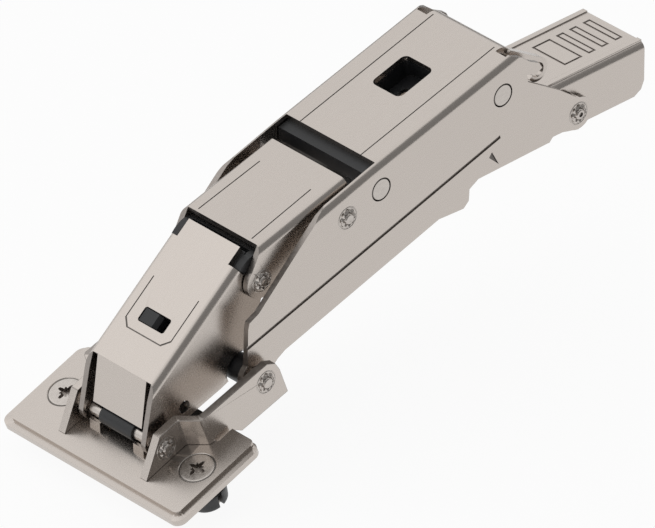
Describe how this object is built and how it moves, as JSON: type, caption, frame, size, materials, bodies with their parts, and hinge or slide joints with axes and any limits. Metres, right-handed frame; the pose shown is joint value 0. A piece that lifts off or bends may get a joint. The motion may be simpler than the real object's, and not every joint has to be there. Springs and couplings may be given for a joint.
{
  "type": "concealed hinge",
  "caption": "Wide-opening concealed furniture hinge with a screw-on door plate, folded sheet links, riveted pivots, a built-in damper and a clip-on arm.",
  "frame": {"origin": "middle of the arm's seat: the line between the arm's two lower edges, where it clips to its mounting plate", "axes": "+X across the hinge along its pivots, +Y back along the arm, away from the door, +Z out of the cabinet side"},
  "size_m": [0.061, 0.1687, 0.0755],
  "materials": {
    "nickel_steel": "satin nickel plate",
    "plated_pin": "nickel plated, as crimped",
    "plated_screw": "nickel plated",
    "black_plastic": "fine matte moulding"
  },
  "bodies": {
    "mounting_arm": {"mounting_arm": "nickel_steel", "guide_pin_rear": "plated_pin", "arm_rivets": "plated_pin"},
    "outer_body": {"outer_body": "nickel_steel", "cross_rivets": "plated_pin", "roller_pin": "plated_pin", "spring_case": "black_plastic", "rear_cross_pin": "plated_pin", "port_collar": "black_plastic", "swing_sleeve": "black_plastic"},
    "door_plate": {"door_plate": "nickel_steel", "bracket_right": "nickel_steel", "bracket_left": "nickel_steel", "plate_screws": "plated_screw", "dowel_sleeves": "black_plastic", "dowel_cones": "plated_screw", "door_pin": "plated_pin", "door_pin_sleeve": "black_plastic", "swing_pin": "plated_pin"},
    "middle_link": {"middle_link": "nickel_steel", "knee_rivets": "plated_pin", "guide_pin_front": "plated_pin"},
    "central_link": {"central_link": "nickel_steel", "damper_case": "black_plastic"},
    "damper_switch": {"damper_switch": "black_plastic"},
    "guide_lever": {"guide_lever": "nickel_steel"}
  },
  "joints": [
    {"name": "door_swing", "type": "hinge", "parent": "outer_body", "child": "door_plate", "pos_m": [0, -0.0967, -0.0202], "axis": [1, 0, 0], "range_deg": [-95, 0]},
    {"name": "body_swing", "type": "hinge", "parent": "mounting_arm", "child": "outer_body", "pos_m": [0, 0.011, 0.0046], "axis": [1, 0, 0], "range_deg": [-15.2, 0.1]},
    {"name": "middle_swing", "type": "hinge", "parent": "outer_body", "child": "middle_link", "pos_m": [0, -0.0673, 0.0103], "axis": [1, 0, 0], "range_deg": [-104.4, 0.1]},
    {"name": "central_swing", "type": "hinge", "parent": "middle_link", "child": "central_link", "pos_m": [0, -0.0914, 0.002], "axis": [1, 0, 0], "range_deg": [-0.1, 101.1]},
    {"name": "lever_swing", "type": "hinge", "parent": "mounting_arm", "child": "guide_lever", "pos_m": [0, -0.037, 0.0087], "axis": [1, 0, 0], "range_deg": [-46.6, 0.1]},
    {"name": "switch_slide", "type": "slide", "parent": "central_link", "child": "damper_switch", "axis": [1, 0, 0], "range_m": [0, 0.003]}
  ],
  "couplings": [
    {"joint": "body_swing", "follows": "door_swing", "ratio": 0.15895},
    {"joint": "middle_swing", "follows": "door_swing", "ratio": 1.0972},
    {"joint": "central_swing", "follows": "door_swing", "ratio": -1.0622},
    {"joint": "lever_swing", "follows": "door_swing", "ratio": 0.48842}
  ]
}
